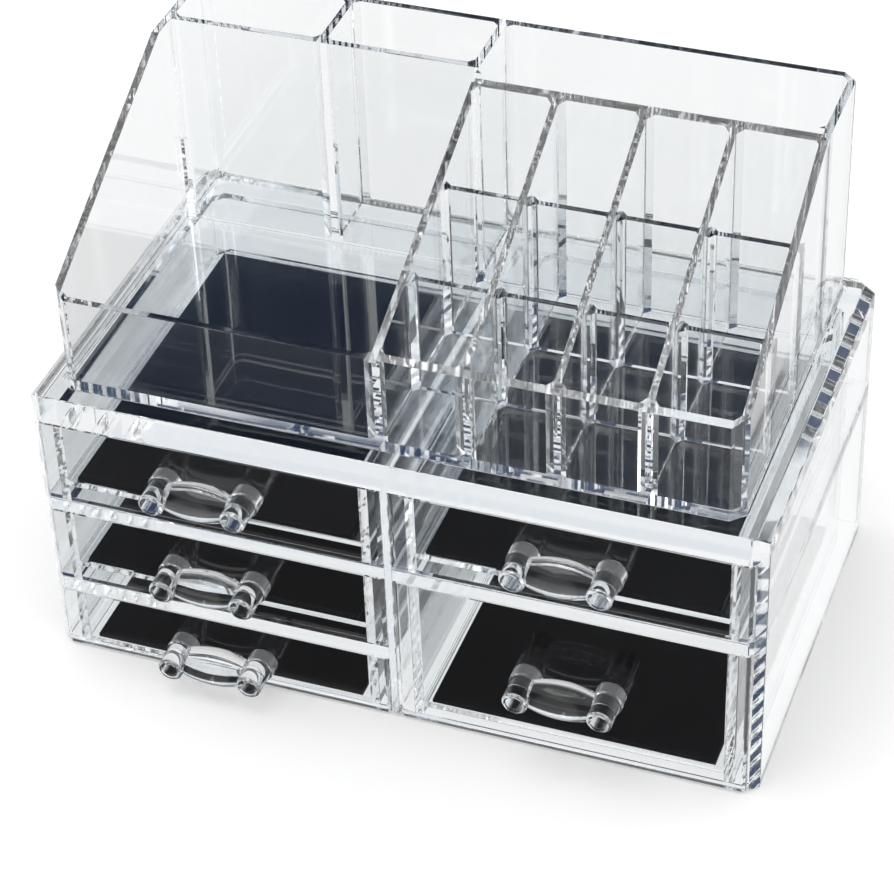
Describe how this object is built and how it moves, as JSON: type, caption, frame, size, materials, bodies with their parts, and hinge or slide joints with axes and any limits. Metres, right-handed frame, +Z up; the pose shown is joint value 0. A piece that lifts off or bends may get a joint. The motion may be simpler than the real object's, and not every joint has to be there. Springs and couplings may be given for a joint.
{
  "type": "cosmetics organizer with drawers",
  "caption": "Clear acrylic cosmetics organizer: a drawer case with barrel pull handles and black liners, topped by a lift-off tray with sloped slots and rear cells.",
  "frame": {"origin": "centre of the case's underside", "axes": "+X to the right seen from the front, +Y to the back, +Z up; the drawers open towards -Y"},
  "size_m": [0.24, 0.154, 0.182],
  "materials": {
    "clear_case": "clear polished acrylic",
    "clear_tray": "clear polished acrylic",
    "clear_drawer": "clear polished acrylic",
    "clear_handle": "clear polished acrylic",
    "black_pad": "smooth black velvet liner"
  },
  "bodies": {
    "case": {"case_shell": "clear_case", "centre_divider": "clear_case", "shelf_left_lower": "clear_case", "shelf_left_upper": "clear_case", "shelf_right": "clear_case"},
    "upper_tray": {"tray": "clear_tray"},
    "left_top_drawer": {"drawer_left_top": "clear_drawer", "handle_left_top": "clear_handle", "pad_left_top": "black_pad"},
    "left_middle_drawer": {"drawer_left_middle": "clear_drawer", "handle_left_middle": "clear_handle", "pad_left_middle": "black_pad"},
    "left_bottom_drawer": {"drawer_left_bottom": "clear_drawer", "handle_left_bottom": "clear_handle", "pad_left_bottom": "black_pad"},
    "right_top_drawer": {"drawer_right_top": "clear_drawer", "handle_right_top": "clear_handle", "pad_right_top": "black_pad"},
    "right_deep_drawer": {"drawer_right_deep": "clear_drawer", "handle_right_deep": "clear_handle", "pad_right_deep": "black_pad"}
  },
  "joints": [
    {"name": "tray_lift", "type": "slide", "parent": "case", "child": "upper_tray", "axis": [0, 0, 1], "range_m": [0, 0.06]},
    {"name": "left_top_slide", "type": "slide", "parent": "case", "child": "left_top_drawer", "axis": [0, -1, 0], "range_m": [0, 0.11]},
    {"name": "left_middle_slide", "type": "slide", "parent": "case", "child": "left_middle_drawer", "axis": [0, -1, 0], "range_m": [0, 0.11]},
    {"name": "left_bottom_slide", "type": "slide", "parent": "case", "child": "left_bottom_drawer", "axis": [0, -1, 0], "range_m": [0, 0.11]},
    {"name": "right_top_slide", "type": "slide", "parent": "case", "child": "right_top_drawer", "axis": [0, -1, 0], "range_m": [0, 0.11]},
    {"name": "right_deep_slide", "type": "slide", "parent": "case", "child": "right_deep_drawer", "axis": [0, -1, 0], "range_m": [0, 0.11]}
  ]
}
